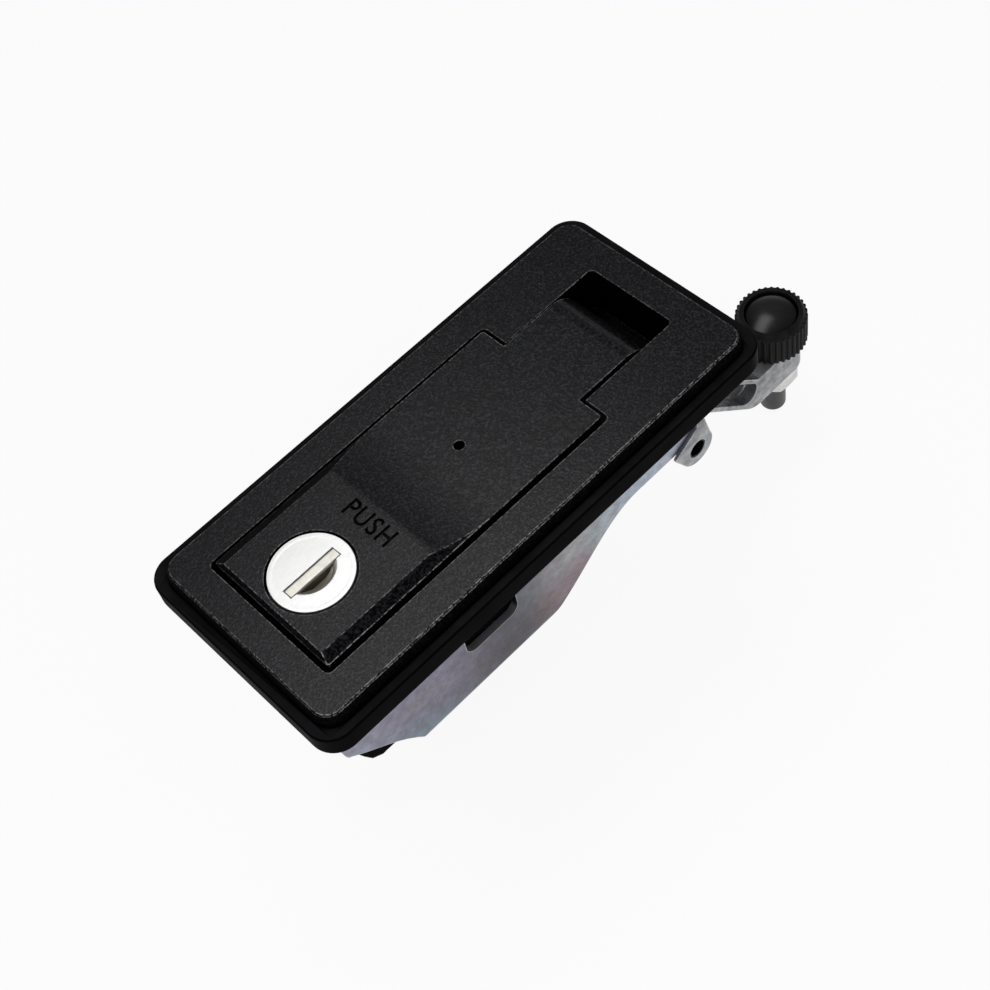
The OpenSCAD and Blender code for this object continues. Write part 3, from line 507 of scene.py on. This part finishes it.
# walls and slopes of a coated piece take the copy of the coat with almost no shine, a shaded copy that keeps them
# dark as painted shade
def shadeSides(piece, level=0.90):
    piece.data.materials.append(coatShadedSide)
    last = len(piece.data.materials) - 1
    for face in piece.data.polygons:
        if face.material_index == 0 and face.normal.z < level:
            face.material_index = last


def settle(piece, nodeName, finish):
    if not piece.data.materials:
        piece.data.materials.append(finish)
    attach(piece, nodeBody[nodeName])
    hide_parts(nodeName)


# pieces that keep the CAD shape, by node: piece, slot, finish, edge round in mm, segments
roundedPieces = {
    "pan": ("panShell", "black_coat", coat, 0.30, 2),
    "mounting_bracket": ("bracketSheet", "zinc_sheet", zincSheet, 0.25, 2),
    "ear_plates": ("earPair", "zinc_casting", cast, 0.35, 2),
    "bracket_screws": ("bracketScrewSet", "plain_steel", steel, 0.12, 2),
    "lever_pin": ("leverPinBar", "plain_steel", steel, 0.30, 2),
    "arm_pin": ("armPinBar", "plain_steel", pinHoleShade, 0.30, 2),
    "arm_spacers": ("spacerTubes", "plain_steel", steel, 0.20, 2),
    "lever_crank": ("crankFork", "zinc_casting", cast, 0.40, 2),
    "crank_screws": ("crankScrewSet", "plain_steel", steel, 0.15, 2),
    "crank_pin": ("crankPinBar", "plain_steel", steel, 0.30, 2),
    "lock_barrel": ("lockBarrelBody", "satin_nickel", nickel, 0.20, 2),
    "lock_nut": ("lockNutRing", "satin_nickel", nickel, 0.30, 2),
    "lock_face": ("lockDisc", "satin_nickel", nickel, 0.40, 4),
    "lock_plug": ("lockPlugCore", "brass", brass, 0.10, 2),
    "lock_cam": ("lockCamTab", "plain_steel", steel, 0.30, 2),
    "cam_screw": ("camScrewHead", "plain_steel", steel, 0.20, 2),
    "dust_shutter": ("slotShutter", "satin_nickel", shutterNickel, 0.12, 3),
    "drive_link": ("driveLinkBar", "zinc_sheet", zincSheet, 0.40, 2),
    "arm": ("armCasting", "zinc_casting", cast, 0.70, 3),
    "arm_link_pin": ("armLinkPinBar", "plain_steel", steel, 0.30, 2),
    "jam_nut": ("jamNutHex", "plain_steel", bright, 0.30, 3),
    "knob": ("knobGrip", "black_plastic", plastic, 0.18, 2),
    "adjuster_stud": ("studRod", "plain_steel", stain, 0.90, 4),
    "bumper_pad": ("bumperDome", "black_rubber", bumperRubber, 0.40, 3),
}
for nodeName, (pieceName, slotName, finish, width, segments) in roundedPieces.items():
    piece = copyNode(nodeName, pieceName)
    roundEdges(piece, width, segments)
    settle(piece, nodeName, finish)
    if nodeName == "pan":
        shadeSides(piece)
    print(pieceName, "rounded,", len(piece.data.polygons), "faces")


# gasket: its leaning lip is filled out and stands a little higher at the edge
lipLook = {"corner": 6.8, "out": 6.75, "roll": 0.6, "lean": 1.4, "foot": 0.6, "rise": 0.7, "steps": 4, "edge": 0.2}


def sealLip():
    ring = copyNode("gasket", "sealRing")
    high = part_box("gasket")[1]
    straight = (high.x - lipLook["corner"] * mm, high.y - lipLook["corner"] * mm)
    roll = lipLook["roll"] * mm
    shoulder = high.z - roll
    pickOnly(ring)
    bpy.ops.object.mode_set(mode="EDIT")
    for i in range(lipLook["steps"]):
        height = shoulder + roll * math.sin(math.pi / 2 * i / lipLook["steps"])
        bpy.ops.mesh.select_all(action="SELECT")
        bpy.ops.mesh.bisect(plane_co=(0, 0, height), plane_no=(0, 0, 1))
    bpy.ops.object.mode_set(mode="OBJECT")
    for vertex in ring.data.vertices:
        x, y, z = vertex.co
        nearest = Vector((max(-straight[0], min(x, straight[0])), max(-straight[1], min(y, straight[1]))))
        out = Vector((x, y)) - nearest
        if z > (lipLook["foot"] + 0.1) * mm and out.length > (lipLook["corner"] - lipLook["lean"] - 0.1) * mm:
            up = max(0, z - shoulder)
            wanted = lipLook["out"] * mm - roll + math.sqrt(max(0, roll ** 2 - up ** 2))
            out *= wanted / out.length
            vertex.co.x, vertex.co.y = nearest.x + out.x, nearest.y + out.y
            vertex.co.z += lipLook["rise"] * mm * z / high.z
    roundEdges(ring, lipLook["edge"], 2, 40)
    return ring


sealRing = sealLip()
settle(sealRing, "gasket", rubber)
print("gasket rolled,", len(sealRing.data.polygons), "faces")


# lever, with the word engraved in its pad
wordLook = {"word": "PUSH", "left": 7.0, "right": -8.0, "foot": -30.6, "top": -25.5, "depth": 0.45,
            "spacing": 1.12, "weight": 0.014}


def wordCutter(padTop):
    pickNone()
    bpy.ops.object.text_add(location=(0, 0, 0))
    word = bpy.context.object
    word.data.body = wordLook["word"]
    word.data.extrude = 0.5
    word.data.resolution_u = 4
    word.data.space_character = wordLook["spacing"]
    word.data.offset = wordLook["weight"]
    bpy.ops.object.convert(target="MESH")
    low = Vector([min(v.co[i] for v in word.data.vertices) for i in range(3)])
    high = Vector([max(v.co[i] for v in word.data.vertices) for i in range(3)])
    span = high - low
    scale = ((wordLook["left"] - wordLook["right"]) / span.x, (wordLook["top"] - wordLook["foot"]) / span.y,
             2 * wordLook["depth"] / span.z)
    fit = Matrix.Diagonal((*[s * mm for s in scale], 1)) @ Matrix.Translation(-low)
    stand = Matrix.Translation((wordLook["foot"] * mm, wordLook["left"] * mm, padTop - wordLook["depth"] * mm))
    word.data.transform(stand @ Matrix.Rotation(-math.pi / 2, 4, "Z") @ fit)
    pickOnly(word)
    bpy.ops.object.mode_set(mode="EDIT")
    bpy.ops.mesh.select_all(action="SELECT")
    bpy.ops.mesh.remove_doubles(threshold=2 * mergeGap)
    bpy.ops.mesh.normals_make_consistent(inside=False)
    bpy.ops.object.mode_set(mode="OBJECT")
    word.data.materials.clear()
    word.data.materials.append(engraved)
    return word


leverShell = copyNode("lever", "leverShell")
roundEdges(leverShell, 0.28, 2)
leverShell.data.materials.append(coat)
word = wordCutter(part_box("lever")[1].z)
engrave = leverShell.modifiers.new("engrave", "BOOLEAN")
engrave.operation = "DIFFERENCE"
engrave.solver = "EXACT"
engrave.material_mode = "TRANSFER"  # the cut faces keep the darker finish, painted shade inside the letters
engrave.object = word
applyAll(leverShell)
smoothShade(leverShell)
bpy.data.objects.remove(word)
settle(leverShell, "lever", coat)
shadeSides(leverShell)
print("lever engraved,", len(leverShell.data.polygons), "faces")


# torsion spring, one wire: push leg, coil round the lever pin, holding leg and its hook
springLook = {"wire": 0.45, "coil": 4.1, "turns": 4.5, "width": 4.32, "inset": 0.6, "points": 22, "push": 6.8,
              "tilt": 17, "hold": 21.0, "hook": 5.2, "bend": 1.2, "bendSteps": 4, "windFrom": 1.1, "windTo": 0.1}


def springRoute():
    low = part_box("lever_spring")[0]
    pinLow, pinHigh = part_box("lever_pin")
    middle = (pinLow + pinHigh) / 2
    coil = springLook["coil"] * mm
    start = low.y + springLook["inset"] * mm
    finish = start + springLook["width"] * mm
    lean = math.radians(springLook["tilt"])
    reach = springLook["push"] * mm
    route = [Vector((middle.x - reach * math.cos(lean), start, middle.z + coil + reach * math.sin(lean)))]
    count = int(springLook["turns"] * springLook["points"])
    for i in range(count + 1):
        share = i / count
        turned = math.pi / 2 - 2 * math.pi * springLook["turns"] * share
        route.append(Vector((middle.x + coil * math.cos(turned), start + (finish - start) * share,
                             middle.z + coil * math.sin(turned))))
    end = route[-1]
    corner = end + Vector((springLook["hold"] * mm, 0, 0))
    bend = springLook["bend"] * mm
    for i in range(1, springLook["bendSteps"] + 1):  # a small bend into the hook
        angle = math.radians(90 / springLook["bendSteps"] * i)
        route.append(corner + Vector((-bend * (1 - math.sin(angle)), bend * (1 - math.cos(angle)), 0)))
    route.append(corner + Vector((0, springLook["hook"] * mm, 0)))
    return route


def windSpring():
    route = springRoute()
    path = bpy.data.curves.new("leverSpringWire", "CURVE")
    path.dimensions = "3D"
    path.bevel_depth = springLook["wire"] * mm
    path.bevel_resolution = 3
    path.use_fill_caps = True
    line = path.splines.new("POLY")
    line.points.add(len(route) - 1)
    for point, spot in zip(line.points, route):
        point.co = (*spot, 1)
    wire = bpy.data.objects.new("leverSpringWire", path)
    bpy.context.scene.collection.objects.link(wire)
    pickOnly(wire)
    bpy.ops.object.convert(target="MESH")
    wire = bpy.context.object
    bpy.ops.object.mode_set(mode="EDIT")
    bpy.ops.mesh.select_all(action="SELECT")
    bpy.ops.mesh.remove_doubles(threshold=mergeGap)
    bpy.ops.mesh.normals_make_consistent(inside=False)
    bpy.ops.object.mode_set(mode="OBJECT")
    bpy.ops.object.shade_smooth_by_angle(angle=math.radians(50))
    return wire


springWire = windSpring()
springWire.data.materials.append(steel)
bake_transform(springWire)
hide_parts("lever_spring")
print("spring wound,", len(springWire.data.polygons), "faces")


# plain pale floor that keeps the shadow, white surroundings, soft lamps
stageLook = {"floor": cadLow.z - 0.002, "span": 8, "shade": 0.90, "overhead": 0.15, "rise": (0.10, 0.32)}


def seenPlainly(tree):
    path = addNode(tree, "ShaderNodeLightPath")
    first = addNode(tree, "ShaderNodeMath", {0: path.outputs["Is Camera Ray"], 1: path.outputs["Is Glossy Ray"]},
                    operation="MAXIMUM")
    return addNode(tree, "ShaderNodeMath", {0: first.outputs[0], 1: path.outputs["Is Transmission Ray"]},
                   operation="MAXIMUM").outputs[0]


def layFloor():
    pickNone()
    bpy.ops.mesh.primitive_plane_add(size=stageLook["span"], location=(0, 0, stageLook["floor"]))
    floor = bpy.context.object
    floor.name = "paleFloor"
    finish = bpy.data.materials.new("palePaper")
    finish.use_nodes = True
    tree = finish.node_tree
    tree.nodes.remove(tree.nodes["Principled BSDF"])
    place = addNode(tree, "ShaderNodeTexCoord").outputs["Object"]
    tooth = noise(tree, place, 300, 2.0, 0.5)
    paper = addNode(tree, "ShaderNodeBsdfDiffuse", {"Color": ramp(tree, tooth, [(0.3, 0.93), (0.7, 0.95)])})
    glow = addNode(tree, "ShaderNodeEmission", {"Color": (1, 1, 1, 1), "Strength": 1.0})
    share = addNode(tree, "ShaderNodeMath", {0: seenPlainly(tree), 1: stageLook["shade"]}, operation="MULTIPLY")
    both = addNode(tree, "ShaderNodeMixShader", {0: share.outputs[0], 1: paper.outputs[0], 2: glow.outputs[0]})
    tree.links.new(both.outputs[0], tree.nodes["Material Output"].inputs["Surface"])
    floor.data.materials.append(finish)


def paleWorld():
    world = bpy.data.worlds.new("paleStudio")
    bpy.context.scene.world = world
    world.use_nodes = True
    tree = world.node_tree
    fill = tree.nodes["Background"]
    fill.inputs["Color"].default_value = (1, 1, 1, 1)
    heading = addNode(tree, "ShaderNodeTexCoord").outputs["Generated"]
    height = axesOf(tree, heading)["Z"]
    level = addNode(tree, "ShaderNodeMapRange", {"Value": height, "From Min": stageLook["rise"][0],
                                                 "From Max": stageLook["rise"][1], "To Min": 1.0,
                                                 "To Max": stageLook["overhead"]}, interpolation_type="SMOOTHSTEP")
    tree.links.new(level.outputs[0], fill.inputs["Strength"])


softLamps = {
    "topSoftbox": {"place": (-0.056, 0.27, 0.888), "size": (0.88, 0.38), "power": 2.7, "inGloss": True},
    "fillPanel": {"place": (-0.22, -0.52, 0.83), "size": (1.0, 1.0), "power": 6.2, "inGloss": False},
}


def hangLamps():
    for name, lamp in softLamps.items():
        data = bpy.data.lights.new(name, "AREA")
        data.shape = "RECTANGLE"
        data.size, data.size_y = lamp["size"]
        data.energy = lamp["power"]
        holder = bpy.data.objects.new(name, data)
        holder.location = lamp["place"]
        holder.rotation_euler = (-Vector(lamp["place"])).to_track_quat("-Z", "Y").to_euler()
        holder.visible_glossy = lamp["inGloss"]
        bpy.context.scene.collection.objects.link(holder)


layFloor()
paleWorld()
hangLamps()
bpy.context.scene.view_settings.view_transform = "Standard"
print("studio lit")
